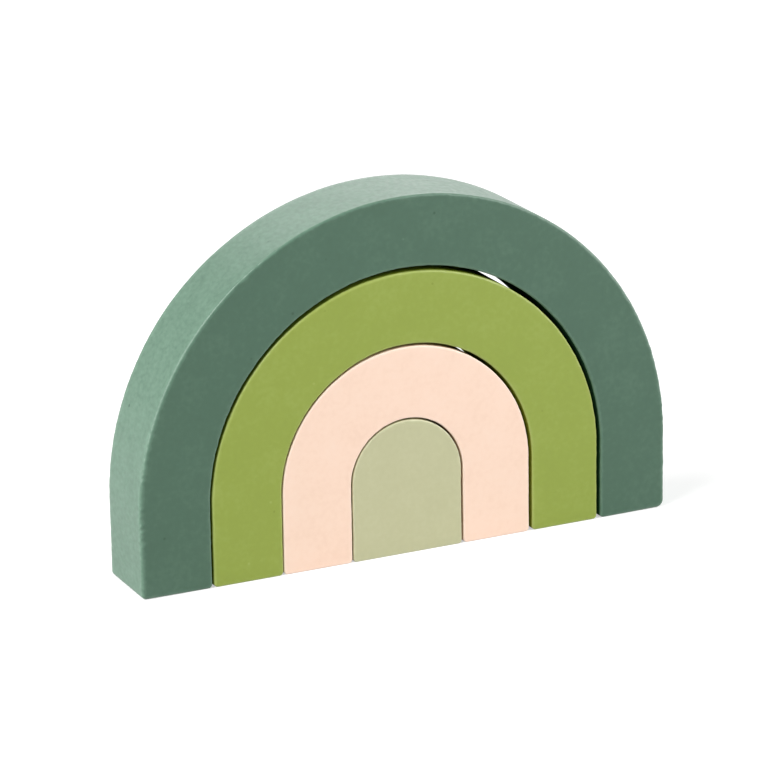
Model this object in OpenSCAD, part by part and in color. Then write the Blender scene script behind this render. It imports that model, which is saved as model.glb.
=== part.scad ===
// Rainbow stacker: three wooden arches nested over a solid arched block, each one a loose piece.
// The pieces stand on z = 0 with their faces square to Y. The origin is midway between the
// outer feet and midway through the board. Lengths are in millimetres.

/* [Board] */
// Thickness of the board that every piece is cut from
board_depth = 20; // [12:0.5:40]

/* [Arches] */
// Width of the solid block at the centre
core_width = 29.1; // [20:0.1:60]
// Width of each arch's band, the same on the curve and on the legs
band_width = 18; // [10:0.5:30]
// Height of the straight legs, from the floor to where the curves begin
leg_height = 19.4; // [8:0.1:60]

/* [Clearances] */
// Gap between the core block and the inner arch
core_gap = 0.4; // [0.3:0.05:2]
// Gap between the inner arch and the middle arch
inner_gap = 0.55; // [0.3:0.05:2]
// Gap between the middle arch and the outer arch
outer_gap = 0.7; // [0.3:0.05:2]
// Share of its gap by which the middle arch stands left of the middle
middle_lean_share = 0.4; // [0:0.05:0.8]
// Share of its gap by which the inner arch stands left of the middle
inner_lean_share = 0.6; // [0:0.05:0.8]
// Share of its gap by which the core block stands left of the middle
core_lean_share = 0.2; // [0:0.05:0.8]

/* [Edges] */
// Radius of the eased edges round the front and back faces
edge_radius = 0.5; // [0.3:0.1:2]
// How much more than the edge radius the outermost foot corners are rounded
outer_foot_extra = 1.4; // [0.2:0.1:3]
// How much more than the edge radius the arches' other foot corners are rounded
arch_foot_extra = 0.5; // [0.2:0.1:3]
// How much more than the edge radius the core block's foot corners are rounded
core_foot_extra = 0.3; // [0.1:0.1:3]

/* [Hidden] */
$fn = 96;

half_turn = 180;
quarter_turn = 90;
// How far a trimming shape reaches past what it trims
overrun = 1;

// Radii about the common centre of the curves, from the middle outwards
core_out = core_width / 2;
inner_in = core_out + core_gap;
inner_out = inner_in + band_width;
middle_in = inner_out + inner_gap;
middle_out = middle_in + band_width;
outer_in = middle_out + outer_gap;
outer_out = outer_in + band_width;

// Sideways place of each nested piece inside its neighbour's play
middle_x = -middle_lean_share * outer_gap;
inner_x = middle_x - inner_lean_share * inner_gap;
core_x = inner_x - core_lean_share * core_gap;

outer_foot_radius = edge_radius + outer_foot_extra;
arch_foot_radius = edge_radius + arch_foot_extra;
core_foot_radius = edge_radius + core_foot_extra;

outer_green = "#5a7664";
olive = "#9aa954";
peach = "#fddec8";
sage = "#c6c6a0";

// Cross-section of a bar: a rectangle of the board's depth with eased corners, centred on the origin
module bar_section(width) {
    flat_width = width - 2 * edge_radius;
    flat_depth = board_depth - 2 * edge_radius;
    square([width, flat_depth], center = true);
    square([flat_width, board_depth], center = true);
    for (x = [-flat_width, flat_width], y = [-flat_depth, flat_depth])
        translate([x / 2, y / 2])
            circle(r = edge_radius);
}

// The right half of a bar section, from the axis at x = 0 out to the radius
module half_section(radius) {
    trim_depth = board_depth + 2 * overrun;
    intersection() {
        bar_section(2 * radius);
        translate([0, -trim_depth / 2])
            square([radius + overrun, trim_depth]);
    }
}

// Turns a section about an axis along Y, anticlockwise from the start angle as seen from the front
module turn_section(start, sweep) {
    rotate([quarter_turn, 0, 0])
        rotate([0, 0, start])
            rotate_extrude(angle = sweep)
                children();
}

// The rounded lower corner at the right of a leg, turned about x = 0, from the floor up to a height
module foot_corner(radius, height) {
    translate([0, 0, radius]) {
        turn_section(-quarter_turn, quarter_turn)
            half_section(radius);
        if (height > radius)
            linear_extrude(height = height - radius)
                half_section(radius);
    }
}

// A straight leg centred on x = 0, eased all round, with a radius of its own at either foot corner
module leg(width, left_foot, right_foot) {
    foot_height = max(left_foot, right_foot);
    left_end = left_foot - width / 2;
    right_end = width / 2 - right_foot;
    translate([0, 0, foot_height]) {
        linear_extrude(height = leg_height - foot_height)
            bar_section(width);
        translate([left_end, 0, 0])
            rotate([0, quarter_turn, 0])
                linear_extrude(height = right_end - left_end)
                    half_section(foot_height);
    }
    translate([left_end, 0, 0])
        rotate([0, 0, half_turn])
            foot_corner(left_foot, foot_height);
    translate([right_end, 0, 0])
        foot_corner(right_foot, foot_height);
}

// A half ring between two radii on a pair of straight legs
module arch(inner_radius, outer_radius, outside_foot) {
    width = outer_radius - inner_radius;
    middle_radius = (inner_radius + outer_radius) / 2;
    translate([0, 0, leg_height])
        turn_section(0, half_turn)
            translate([middle_radius, 0])
                bar_section(width);
    translate([-middle_radius, 0, 0])
        leg(width, outside_foot, arch_foot_radius);
    translate([middle_radius, 0, 0])
        leg(width, arch_foot_radius, outside_foot);
}

module outer_arch() {
    color(outer_green)
        arch(outer_in, outer_out, outer_foot_radius);
}

module middle_arch() {
    color(olive)
        translate([middle_x, 0, 0])
            arch(middle_in, middle_out, arch_foot_radius);
}

module inner_arch() {
    color(peach)
        translate([inner_x, 0, 0])
            arch(inner_in, inner_out, arch_foot_radius);
}

// The solid block has the same form with no opening: a half disc on one broad leg
module core_block() {
    color(sage)
        translate([core_x, 0, 0]) {
            translate([0, 0, leg_height])
                turn_section(0, half_turn)
                    half_section(core_out);
            leg(core_width, core_foot_radius, core_foot_radius);
        }
}

outer_arch();
middle_arch();
inner_arch();
core_block();
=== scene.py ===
import math

import bmesh
import bpy
import numpy as np
from mathutils import Matrix, Vector


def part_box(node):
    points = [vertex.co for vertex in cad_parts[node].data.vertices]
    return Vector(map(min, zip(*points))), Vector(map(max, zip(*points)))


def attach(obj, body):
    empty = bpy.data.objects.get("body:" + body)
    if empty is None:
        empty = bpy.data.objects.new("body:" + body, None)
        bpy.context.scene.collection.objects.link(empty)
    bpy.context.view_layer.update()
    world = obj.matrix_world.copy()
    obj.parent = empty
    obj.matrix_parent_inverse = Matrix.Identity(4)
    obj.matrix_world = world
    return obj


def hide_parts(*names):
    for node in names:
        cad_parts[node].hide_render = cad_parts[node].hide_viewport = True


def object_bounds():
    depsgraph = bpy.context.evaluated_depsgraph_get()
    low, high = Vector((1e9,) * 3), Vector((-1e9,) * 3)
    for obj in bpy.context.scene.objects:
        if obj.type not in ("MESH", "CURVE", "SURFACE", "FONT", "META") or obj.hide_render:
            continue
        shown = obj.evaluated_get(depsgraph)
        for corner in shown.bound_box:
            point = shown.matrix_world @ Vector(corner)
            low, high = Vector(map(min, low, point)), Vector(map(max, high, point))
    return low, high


# Looks of the rainbow stacker: three nested wooden arches and a core block, sanded and painted,
# standing on a white studio floor. Lengths are in metres, in the frame of the CAD solids.
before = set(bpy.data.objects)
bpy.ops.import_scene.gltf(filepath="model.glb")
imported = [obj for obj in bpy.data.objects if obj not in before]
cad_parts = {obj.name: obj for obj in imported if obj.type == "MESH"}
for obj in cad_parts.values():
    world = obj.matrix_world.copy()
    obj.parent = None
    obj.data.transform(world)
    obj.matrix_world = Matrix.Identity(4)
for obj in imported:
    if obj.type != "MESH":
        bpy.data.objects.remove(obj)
cad_low, cad_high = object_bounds()

MM = 0.001

# Sizes of the wooden pieces that the boxes of the solids don't show
BAND_WIDTH = 18 * MM
OUTER_LEFT_FOOT_RADIUS = 1.2 * MM
OUTER_RIGHT_FOOT_RADIUS = 1.9 * MM
ARCH_FOOT_RADIUS = 1.0 * MM
CORE_FOOT_RADIUS = 0.8 * MM
# How much taller the outer arch's opening is than a half circle on its legs
OUTER_RISE = 0.3 * MM

# What hand sanding leaves: easing that widens and narrows, faces that roll off, sides that dip
FRONT_SPREAD = 0.09
BACK_SPREAD = 0.06
EASING_LIMIT = 0.5
EASING_WAVES = (1.6 * MM, 10 * MM)
# Short nicks along the front edge of the outer arch's left leg
NICK_SPREAD = 0.14
NICK_WAVES = (1.2 * MM, 3 * MM)
# How far out, as a share of the outer radius, the crown's easing starts to change to that of the legs,
# in front and behind, and where the nicks start
LEG_STARTS = (0.4, 0.8)
NICKS_START = 0.8
ROLL_OFF = 0.006 * MM
ROLL_OFF_WIDTH = 0.6 * MM
# The spread of the dip, and its mean depth counted in spreads
SIDE_DIP = 0.015 * MM
MEAN_DIP_SPREADS = 2
SIDE_DIP_WAVES = (9 * MM, 60 * MM)
# How far above the floor the sanding marks fade out, which keeps the soles flat
FADE_HEIGHT = 5 * MM
# How far from an edge the paint is lighter and smoother: partly rubbed thin, partly a painted highlight
EDGE_WEAR_AND_HIGHLIGHT_WIDTH = 0.15 * MM

# Mesh steps along the outline and across half the profile
QUARTER_STEPS = 360
LEG_STEPS = 60
CORNER_STEPS = 8
SOLE_STEPS = 12
FACE_STEPS = 7
EASING_STEPS = 7
SIDE_STEPS = 7
WELD = 0.001 * MM

# Where the spine of a face ends above the floor
SPINE_FOOT = 7 * MM


# Outlines are tables with one row per point: its x and z, the unit vector into the wood, and the
# point on the spine of the face that it is tied to


def bow(radius, inward, spine_radius, spring, rise, degrees):
    """A stretch of outline round the arches' centre: at each angle a point on the circle of that
    radius, raised by the rise, the unit vector into the wood (inward is -1 on an outer curve, 1 on
    an inner one), and the spine point at the same angle on the circle of the spine's radius."""
    angle = np.radians(degrees)
    out = np.stack([np.cos(angle), np.sin(angle)], axis=1)
    centre = np.array([0.0, spring])
    return np.hstack([centre + [0, rise] + radius * out, inward * out, centre + spine_radius * out])


def leg_side(x, inward, spine_x, spring, rise, foot, share):
    """A straight side of a leg at x, at shares of the way from where its curve begins down to its
    foot corner. The spine points lie at the same shares of the way down to the spine's foot."""
    same = np.ones_like(share)
    z = spring + rise + share * (foot - spring - rise)
    spine_z = spring + share * (SPINE_FOOT - spring)
    return np.stack([x * same, z, inward * same, 0 * same, spine_x * same, spine_z], axis=1)


def foot_corner(x, radius, spine_x, degrees):
    """A rounded lower corner: a circle of that radius that stands on the floor about x, with all
    its points tied to the foot of the spine."""
    angle = np.radians(degrees)
    out = np.stack([np.cos(angle), np.sin(angle)], axis=1)
    spine = np.tile([spine_x, SPINE_FOOT], (len(angle), 1))
    return np.hstack([np.array([x, radius]) + radius * out, -out, spine])


def sole(x, spine_x):
    """The flat underside of a leg, along the floor, tied to the foot of the spine."""
    same = np.ones_like(x)
    return np.stack([x, 0 * x, 0 * x, same, spine_x * same, SPINE_FOOT * same], axis=1)


def up_to(start, end, steps):
    """Even steps from start towards end, without the end, where the next stretch begins."""
    return np.linspace(start, end, steps, endpoint=False)


def both_sides(left, right):
    """The closed outline from two right halves, which run from one point on the middle line to
    another: the left side is the mirror image of its half, walked back."""
    return np.vstack([right, left[-2:0:-1] * [-1, 1, -1, 1, -1, 1]])


def half_arch(outer, spring, outer_foot, rise):
    """The right half of an arch's outline, clockwise from its crown as seen from the front: outer
    curve, leg, corner, sole, corner, leg and inner curve, which is raised by the rise. The spine
    runs along the middle of the band."""
    inner = outer - BAND_WIDTH
    middle = (outer + inner) / 2
    foot = ARCH_FOOT_RADIUS
    return np.vstack([
        bow(outer, -1, middle, spring, 0, up_to(90, 0, QUARTER_STEPS)),
        leg_side(outer, -1, middle, spring, 0, outer_foot, up_to(0, 1, LEG_STEPS)),
        foot_corner(outer - outer_foot, outer_foot, middle, up_to(0, -90, CORNER_STEPS)),
        sole(up_to(outer - outer_foot, inner + foot, SOLE_STEPS), middle),
        foot_corner(inner + foot, foot, middle, up_to(-90, -180, CORNER_STEPS)),
        leg_side(inner, 1, middle, spring, rise, foot, up_to(1, 0, LEG_STEPS)),
        bow(inner, 1, middle, spring, rise, np.linspace(0, 90, QUARTER_STEPS + 1)),
    ])


def half_core(radius, spring, foot, rise):
    """The right half of the core block's outline, clockwise from its crown: curve, side, corner and
    sole. The spine stands on the middle line, from the foot of the spine to the curve's centre."""
    return np.vstack([
        bow(radius, -1, 0, spring, rise, up_to(90, 0, QUARTER_STEPS)),
        leg_side(radius, -1, 0, spring, rise, foot, up_to(0, 1, LEG_STEPS)),
        foot_corner(radius - foot, foot, 0, up_to(0, -90, CORNER_STEPS)),
        sole(np.linspace(radius - foot, 0, SOLE_STEPS + 1), 0),
    ])


def towards_leg(x, radius, start):
    """0 over the crown, rising evenly with x from the start, a share of the radius, to 1 at the
    outside of the right leg."""
    return np.clip((x / radius - start) / (1 - start), 0, 1)


def easing_along(outline, radius, reach, easing, start):
    """The easing at each point of the outline, blended across the band from that of the inside edge
    to that of the outside edge, which itself goes from the crown's value to that of the legs."""
    inside, crown, legs = np.array(easing) * MM
    outside = crown + towards_leg(np.abs(outline[:, 0]), radius, start) * (legs - crown)
    share = np.clip((reach - radius) / BAND_WIDTH + 1, 0, 1)
    return inside + share * (outside - inside)


def wander(run, waves, chance):
    """A smooth closed curve of unit spread along the outline: the sum of sine waves that go round
    a whole number of times, from the longest wave to the shortest, longer ones larger, with phases
    drawn by chance."""
    shortest, longest = waves
    cycles = np.arange(math.ceil(run[-1] / longest), math.floor(run[-1] / shortest))
    phases = chance.uniform(0, 2 * math.pi, len(cycles))
    curve = np.sin(2 * math.pi * np.outer(run / run[-1], cycles) + phases) @ cycles ** -0.5
    return curve / curve.std()


def half_board(outline, easing, dip, depth):
    """The front half of a board cut to the outline: a profile carried round the outline, from the
    spine along the face to the edge, round the easing, and across the side to mid-depth. A point of
    the face is a share of the way from the spine to the edge, the easing is a quarter circle, and
    the face rolls off a little towards the edge. Gives the points as x, depth below the face and z,
    how near to an edge each one is, and how far it is turned to the side."""
    face, turned, side = np.zeros(FACE_STEPS), np.zeros(EASING_STEPS), np.zeros(SIDE_STEPS + 1)
    reach = np.concatenate([np.sin(up_to(0, math.pi / 2, FACE_STEPS)), turned + 1, side + 1])
    turn = np.concatenate([face, up_to(0, math.pi / 2, EASING_STEPS), side + math.pi / 2])
    travel = np.concatenate([face, turned, np.linspace(0, 1, SIDE_STEPS + 1)])
    place, inward, spine = outline[:, None, 0:2], outline[:, None, 2:4], outline[:, None, 4:6]
    inset = easing * (1 - np.sin(turn)) + dip
    edge = place + inward * inset[..., None]
    points = spine + reach[:, None] * (edge - spine)
    away = np.linalg.norm(edge - points, axis=2) + travel * (depth / 2 - easing)
    sink = easing * (1 - np.cos(turn)) + travel * (depth / 2 - easing)
    sink = sink + ROLL_OFF * np.cos(turn) * np.exp(-away / ROLL_OFF_WIDTH)
    near = np.exp(-away / EDGE_WEAR_AND_HIGHLIGHT_WIDTH)
    return np.stack([points[..., 0], sink, points[..., 1]], axis=2), near, np.sin(turn) + 0 * near


def sanded_board(outline, depth, foot, easings, nicks, seed):
    """A board cut to the outline and sanded by hand: the radius of the easing, which is given along
    the outline in front and behind, and a slight dip of the sides wander, except near the soles.
    Nicks says how much of the short nicks each point of the front edge has."""
    chance = np.random.default_rng(seed)
    step = np.diff(outline[:, 0:2], axis=0, append=outline[:1, 0:2])
    run = np.cumsum(np.linalg.norm(step, axis=1))
    fade = np.clip((outline[:, 1] - foot) / FADE_HEIGHT, 0, 1)
    depth_in_spreads = MEAN_DIP_SPREADS + wander(run, SIDE_DIP_WAVES, chance)
    dip = (SIDE_DIP * fade * np.clip(depth_in_spreads, 0, 2 * MEAN_DIP_SPREADS))[:, None]
    nicked = NICK_SPREAD * nicks * wander(run, NICK_WAVES, chance)
    halves = []
    for radius, spread, extra in zip(easings, (FRONT_SPREAD, BACK_SPREAD), (nicked, 0)):
        change = spread * wander(run, EASING_WAVES, chance) + extra
        change = fade * np.clip(change, -EASING_LIMIT, EASING_LIMIT)
        halves.append(half_board(outline, (radius * (1 + change))[:, None], dip, depth))
    (front, near_front, side_front), (back, near_back, side_back) = halves
    front[..., 1] -= depth / 2
    back[..., 1] = depth / 2 - back[..., 1]
    return [np.concatenate([one, other[:, -2::-1]], axis=1)
            for one, other in ((front, back), (near_front, near_back), (side_front, side_back))]


def board_piece(name, points, marks, rubbed, finishes):
    """Joins the grid of points into a closed mesh of quads, welds the two sides of each face along the
    spine, and keeps each named mark of the points as an attribute. A quad whose corners all lie on the
    rubbed sides, which are matt and painted in shade, takes the second finish, and the others the
    first."""
    rings, rows = points.shape[:2]
    here = np.arange(rings * rows).reshape(rings, rows)
    ahead = np.roll(here, -1, axis=0)
    quads = np.stack([here[:, :-1], ahead[:, :-1], ahead[:, 1:], here[:, 1:]], axis=2)
    quads = quads.reshape(-1, 4)
    mesh = bpy.data.meshes.new(name)
    mesh.from_pydata(points.reshape(-1, 3), [], quads)
    for finish in finishes:
        mesh.materials.append(finish)
    mesh.polygons.foreach_set("material_index", rubbed.ravel()[quads].all(axis=1).astype(np.int32))
    for mark, values in marks.items():
        mesh.attributes.new(mark, "FLOAT", "POINT").data.foreach_set("value", values.ravel())
    weld = bmesh.new()
    weld.from_mesh(mesh)
    bmesh.ops.remove_doubles(weld, verts=weld.verts, dist=WELD)
    weld.to_mesh(mesh)
    weld.free()
    mesh.shade_smooth()
    piece = bpy.data.objects.new(name, mesh)
    bpy.context.scene.collection.objects.link(piece)
    return piece


def linear(hex_colour):
    """An sRGB colour written as hex, as linear red, green, blue and alpha."""
    srgb = np.array([int(hex_colour[i:i + 2], 16) for i in (1, 3, 5)]) / 255
    return (*np.where(srgb <= 0.04045, srgb / 12.92, ((srgb + 0.055) / 1.055) ** 2.4), 1.0)


def add(tree, kind, links=None, **settings):
    """Adds a node: the settings are its own properties, and links gives each named input a value,
    or the output that feeds it."""
    node = tree.nodes.new(kind)
    for name, value in settings.items():
        setattr(node, name, value)
    for name, value in (links or {}).items():
        if isinstance(value, bpy.types.NodeSocket):
            tree.links.new(value, node.inputs[name])
        else:
            node.inputs[name].default_value = value
    return node


# The sprayed paint: cloudy thickness, a fine mottle over the sanded wood, and a speck of dust here
# and there. The mottle is deeper on the sides, where the saw crossed the grain. Its real size, about
# half a millimetre, would not show, so it is drawn two to three times as coarse.
CLOUD = 7 * MM
CLOUD_DETAIL = 3
MOTTLE = 1.4 * MM
MOTTLE_DETAIL = 2
FACE_RELIEF = 0.006 * MM
SIDE_MOTTLE = 1.1 * MM
SIDE_DETAIL = 3
SIDE_RELIEF = 0.009 * MM
# How far the mottle of the sides is drawn out across the board, as the saw's teeth went
SIDE_STRETCH = 1.4
SPECK_SPACING = 6 * MM
SPECK_RADIUS = 0.45 * MM
SPECK_RELIEF = 0.02 * MM
# The paint's shade is 0 where it lies thick and dark, plain on the flats, and 1 where it is thin and
# light. It starts from the base, and each layer adds up to its own share. The layers of the sides and
# edges also paint light and shade: they lift the open sides and the edges, and sink the rubbed sides.
PLAIN_SHADE = 0.5
BASE_SHADE = 0.29
CLOUD_SHADE = 0.2
MOTTLE_SHADE = 0.22
# The sides' mottle; its mean also lifts the sides' shade, which on the open sides is painted light
SIDE_MOTTLE_AND_LIGHT_SHADE = 0.54
# Lighter edges: partly paint rubbed thin, partly a painted highlight
EDGE_WEAR_AND_HIGHLIGHT_SHADE = 0.12
SPECK_SHADES = (-1.1, 0.5)
# Roughness over the usual span of the mottle, and how much smoother handling has made the edges
MOTTLE_SPAN = (0.3, 0.7)
ROUGHNESS = (0.34, 0.44)
EDGE_POLISH = 0.05
PAINT_IOR = 1.5


def noise(tree, place, size, detail):
    """Soft cloudy noise about a half, with lumps of that size and so many finer layers in it."""
    return add(tree, "ShaderNodeTexNoise", {
        "Vector": place, "Scale": 1 / size, "Detail": detail}).outputs["Fac"]


def times_plus(tree, value, factor, extra):
    """A value times a factor, plus an extra."""
    return add(tree, "ShaderNodeMath", {0: value, 1: factor, 2: extra},
               operation="MULTIPLY_ADD").outputs[0]


def satin_paint_on_beech(name, sheen, painted_side_shading, thick, coat, thin):
    """Satin water-based acrylic paint, sprayed on sanded beech. It gives the eye an even colour with a
    soft sheen that whitens at a slant, faint clouds and a fine mottle, a little more of it on the
    sawn sides, a few specks, and a smoother, lighter line on the edges, partly where the paint lies
    thin and partly a painted highlight. Sheen is its specular level, and the side shading what its
    shade
    gains where it turns to the side: with the mean of the sides' mottle it is painted light on the open
    sides and painted shade on the rubbed ones."""
    material = bpy.data.materials.new(name)
    material.use_nodes = True
    tree = material.node_tree
    tree.nodes.clear()
    place = add(tree, "ShaderNodeTexCoord").outputs["Object"]
    edge = add(tree, "ShaderNodeAttribute", attribute_name="edge").outputs["Fac"]
    side = add(tree, "ShaderNodeAttribute", attribute_name="side").outputs["Fac"]
    cloud = noise(tree, place, CLOUD, CLOUD_DETAIL)
    fine = noise(tree, place, MOTTLE, MOTTLE_DETAIL)
    across = add(tree, "ShaderNodeVectorMath", {0: place, 1: (1, 1 / SIDE_STRETCH, 1)},
                 operation="MULTIPLY").outputs[0]
    broad = noise(tree, across, SIDE_MOTTLE, SIDE_DETAIL)
    cells = add(tree, "ShaderNodeTexVoronoi", {"Vector": place, "Scale": 1 / SPECK_SPACING})
    speck = add(tree, "ShaderNodeMapRange", {
        "Value": cells.outputs["Distance"],
        "From Min": SPECK_RADIUS / SPECK_SPACING, "From Max": 0.0}).outputs["Result"]
    chance = add(tree, "ShaderNodeSeparateColor", {"Color": cells.outputs["Color"]}).outputs["Red"]
    tint = add(tree, "ShaderNodeMapRange", {
        "Value": chance, "To Min": SPECK_SHADES[0], "To Max": SPECK_SHADES[1]}).outputs["Result"]
    grain = add(tree, "ShaderNodeMath", {0: broad, 1: side}, operation="MULTIPLY").outputs[0]
    shade = times_plus(tree, cloud, CLOUD_SHADE, BASE_SHADE)
    # Besides the real mottle and specks, the side and edge layers paint light and shade
    for layer, share in ((fine, MOTTLE_SHADE), (grain, SIDE_MOTTLE_AND_LIGHT_SHADE), (side, painted_side_shading),
                         (edge, EDGE_WEAR_AND_HIGHLIGHT_SHADE), (speck, tint)):
        shade = times_plus(tree, layer, share, shade)
    ramp = add(tree, "ShaderNodeValToRGB", {"Fac": shade})
    stops = ramp.color_ramp.elements
    stops[0].color = linear(thick)
    stops[1].color = linear(thin)
    stops.new(PLAIN_SHADE).color = linear(coat)
    rough = add(tree, "ShaderNodeMapRange", {
        "Value": fine, "From Min": MOTTLE_SPAN[0], "From Max": MOTTLE_SPAN[1],
        "To Min": ROUGHNESS[0], "To Max": ROUGHNESS[1]}).outputs["Result"]
    rough = times_plus(tree, edge, -EDGE_POLISH, rough)
    normal = add(tree, "ShaderNodeBump", {
        "Height": fine, "Distance": FACE_RELIEF}).outputs["Normal"]
    for height, relief in ((grain, SIDE_RELIEF), (speck, SPECK_RELIEF)):
        normal = add(tree, "ShaderNodeBump", {
            "Height": height, "Distance": relief, "Normal": normal}).outputs["Normal"]
    paint = add(tree, "ShaderNodeBsdfPrincipled", {
        "Base Color": ramp.outputs["Color"], "Roughness": rough, "IOR": PAINT_IOR,
        "Specular IOR Level": sheen, "Normal": normal})
    add(tree, "ShaderNodeOutputMaterial", {"Surface": paint.outputs["BSDF"]})
    return material


# The two feels of the paint, with their sheen and side shading: satin wherever it is in the open,
# with sides made lighter as painted light, and rubbed matt on the sides that slide along a neighbour,
# made deep as painted shade
FEELS = {"satin": (0.5, -0.02), "rubbed": (0.0, -0.75)}

# Each piece: the half of its outline, its outer foot radii at the left and right, the rise of its
# opening, and its share of nicks; its easing in millimetres, in front and behind, on the inside edge
# and on the outside edge at the crown and at the legs; its paint slot, and its paint where thick,
# plain and thin. The thick paint is also the painted shade of the rubbed sides, and the thin paint
# partly the painted light of the open sides and edges
PIECES = {
    "outer_arch": (half_arch, (OUTER_LEFT_FOOT_RADIUS, OUTER_RIGHT_FOOT_RADIUS), OUTER_RISE, 1,
                   ((0.6, 0.55, 0.9), (0.4, 0.3, 0.95)),
                   "sea_green_paint", ("#2c4e3a", "#3d5f4b", "#62826e")),
    "middle_arch": (half_arch, (ARCH_FOOT_RADIUS, ARCH_FOOT_RADIUS), 0, 0,
                    ((0.45, 0.5, 0.5), (0.4, 0.4, 0.4)),
                    "olive_paint", ("#7f8f2e", "#8b9c39", "#a6b461")),
    "inner_arch": (half_arch, (ARCH_FOOT_RADIUS, ARCH_FOOT_RADIUS), 0, 0,
                   ((0.35, 0.4, 0.4), (0.4, 0.4, 0.4)),
                   "peach_paint", ("#e0b89d", "#f8d9c4", "#fde6d7")),
    "core_block": (half_core, (CORE_FOOT_RADIUS, CORE_FOOT_RADIUS), 0, 0,
                   ((0.35, 0.35, 0.35), (0.4, 0.4, 0.4)),
                   "sage_paint", ("#adad85", "#bdbd96", "#d1d2b0")),
}

# Only what lies farther than this from the middle line has no neighbour outside it
OPEN_RADIUS = cad_high.x - BAND_WIDTH / 2

for seed, (node, about) in enumerate(PIECES.items(), start=1):
    half, feet, rise, nicked, easings, slot, colours = about
    low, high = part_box(node)
    radius = (high.x - low.x) / 2
    middle = Vector(((high.x + low.x) / 2, (high.y + low.y) / 2, low.z))
    spring = high.z - low.z - radius
    shape = both_sides(*(half(radius, spring, foot, rise) for foot in feet))
    reach = np.hypot(shape[:, 0], np.maximum(shape[:, 1] - spring, 0))
    eased = [easing_along(shape, radius, reach, *edge) for edge in zip(easings, LEG_STARTS)]
    nicks = nicked * towards_leg(-shape[:, 0], radius, NICKS_START)
    points, near, side = sanded_board(shape, high.y - low.y, max(feet), eased, nicks, seed)
    # The sides that slide along a neighbour: matt, and darkened as painted shade
    rubbed = (side >= 1) & (reach < OPEN_RADIUS)[:, None]
    finishes = [
        satin_paint_on_beech(slot.replace("paint", f"{feel}_paint_on_beech"), *tone, *colours)
        for feel, tone in FEELS.items()]
    piece = board_piece("painted_" + node, points + np.array(middle), {"edge": near, "side": side},
                        rubbed, finishes)
    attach(piece, node)
    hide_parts(node)


# Studio: a wide white floor, a white surround, and softboxes at the left above, at the left low down,
# behind, and at the right, with most of the light from the left as in the photograph
FLOOR_HALF = 4.0
FLOOR_PALE = "#cccccc"
# The floor's own white, which leaves room for the shadow near the object and is full farther out
FLOOR_LIFT = 0.53
SHADOW_REACH = 0.35
WHITE_REACH = 0.8
SURROUND_LIGHT = 0.2
AIM = Vector((0, 0, 0.04))
# Each softbox: its place, size and power in watts
SOFTBOXES = {
    "key_softbox": (Vector((-0.62, -0.20, 0.80)), 0.46, 7.2),
    "low_softbox": (Vector((-0.95, 0.06, 0.26)), 0.85, 9.4),
    "back_softbox": (Vector((0.40, 1.20, 0.72)), 1.1, 4.7),
    "right_softbox": (Vector((0.62, -0.38, 0.32)), 0.8, 6.5),
}


def seen_directly(tree):
    """1 for rays that show a surface itself or its reflection, 0 for rays that carry its light."""
    path = add(tree, "ShaderNodeLightPath").outputs
    seen = path["Is Camera Ray"]
    for kind in ("Is Glossy Ray", "Is Transmission Ray"):
        seen = add(tree, "ShaderNodeMath", {0: seen, 1: path[kind]}, operation="MAXIMUM").outputs[0]
    return seen


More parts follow.
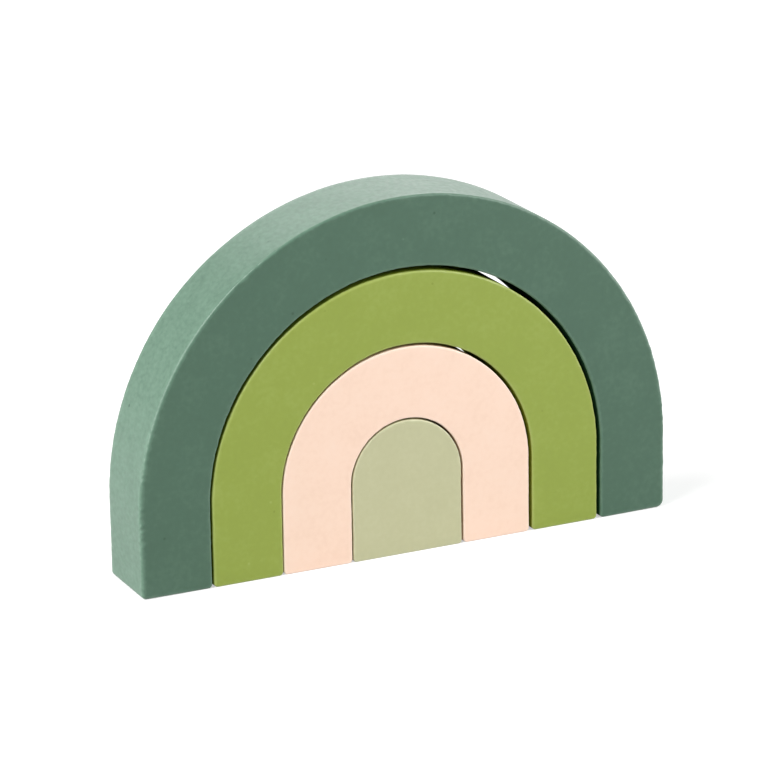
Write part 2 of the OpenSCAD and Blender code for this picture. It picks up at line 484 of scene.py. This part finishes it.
def white_floor():
    """A flat white floor that looks close to pure white and still shows the object's soft shadow."""
    corners = [(x, y, 0) for x, y in ((-1, -1), (1, -1), (1, 1), (-1, 1))]
    mesh = bpy.data.meshes.new("floor")
    mesh.from_pydata(np.array(corners) * FLOOR_HALF, [], [(0, 1, 2, 3)])
    floor = bpy.data.objects.new("floor", mesh)
    bpy.context.scene.collection.objects.link(floor)
    material = bpy.data.materials.new("matt_white_floor")
    material.use_nodes = True
    tree = material.node_tree
    tree.nodes.clear()
    matt = add(tree, "ShaderNodeBsdfDiffuse", {"Color": linear(FLOOR_PALE)})
    place = add(tree, "ShaderNodeTexCoord").outputs["Object"]
    away = add(tree, "ShaderNodeVectorMath", {0: place}, operation="LENGTH").outputs["Value"]
    lift = add(tree, "ShaderNodeMapRange", {
        "Value": away, "From Min": SHADOW_REACH, "From Max": WHITE_REACH,
        "To Min": FLOOR_LIFT, "To Max": 1.0}).outputs["Result"]
    shown = add(tree, "ShaderNodeMath", {0: seen_directly(tree), 1: lift}, operation="MULTIPLY")
    white = add(tree, "ShaderNodeEmission", {"Strength": shown.outputs[0]})
    both = add(tree, "ShaderNodeAddShader", {0: matt.outputs[0], 1: white.outputs[0]})
    add(tree, "ShaderNodeOutputMaterial", {"Surface": both.outputs[0]})
    mesh.materials.append(material)


def white_surround():
    """A white world, of full strength where it is seen and of the surround's strength as light."""
    world = bpy.data.worlds.new("surround")
    world.use_nodes = True
    tree = world.node_tree
    tree.nodes.clear()
    strength = add(tree, "ShaderNodeMapRange", {
        "Value": seen_directly(tree), "To Min": SURROUND_LIGHT, "To Max": 1.0}).outputs["Result"]
    white = add(tree, "ShaderNodeBackground", {"Color": (1, 1, 1, 1), "Strength": strength})
    add(tree, "ShaderNodeOutputWorld", {"Surface": white.outputs[0]})
    bpy.context.scene.world = world


def softbox(name, place, size, watts):
    """A square soft light at a place, turned to the object."""
    light = bpy.data.lights.new(name, "AREA")
    light.size = size
    light.energy = watts
    box = bpy.data.objects.new(name, light)
    turned = (AIM - place).to_track_quat("-Z", "Y").to_matrix().to_4x4()
    box.matrix_world = Matrix.Translation(place) @ turned
    bpy.context.scene.collection.objects.link(box)


white_floor()
white_surround()
for name, (place, size, watts) in SOFTBOXES.items():
    softbox(name, place, size, watts)

# Camera: a long lens from the left, the front and above, a touch out of level as in the photograph
VIEW_TURN = math.radians(25.335)
VIEW_DROP = math.radians(18.062)
VIEW_ROLL = math.radians(0.869)
VIEW_TARGET = Vector((-1.816 * MM, 0, 40.372 * MM))
VIEW_DISTANCE = 0.9874
SENSOR_MM = 36
LENS_MM = 191.83

lens = bpy.data.cameras.new("camera")
lens.sensor_width = SENSOR_MM
lens.lens = LENS_MM
camera = bpy.data.objects.new("camera", lens)
turn = (Matrix.Rotation(-VIEW_TURN, 4, "Z") @ Matrix.Rotation(math.pi / 2 - VIEW_DROP, 4, "X")
        @ Matrix.Rotation(-VIEW_ROLL, 4, "Z"))
camera.matrix_world = Matrix.Translation(VIEW_TARGET) @ turn @ Matrix.Translation((0, 0, VIEW_DISTANCE))
bpy.context.scene.collection.objects.link(camera)
bpy.context.scene.camera = camera
bpy.context.scene.view_settings.view_transform = "Standard"
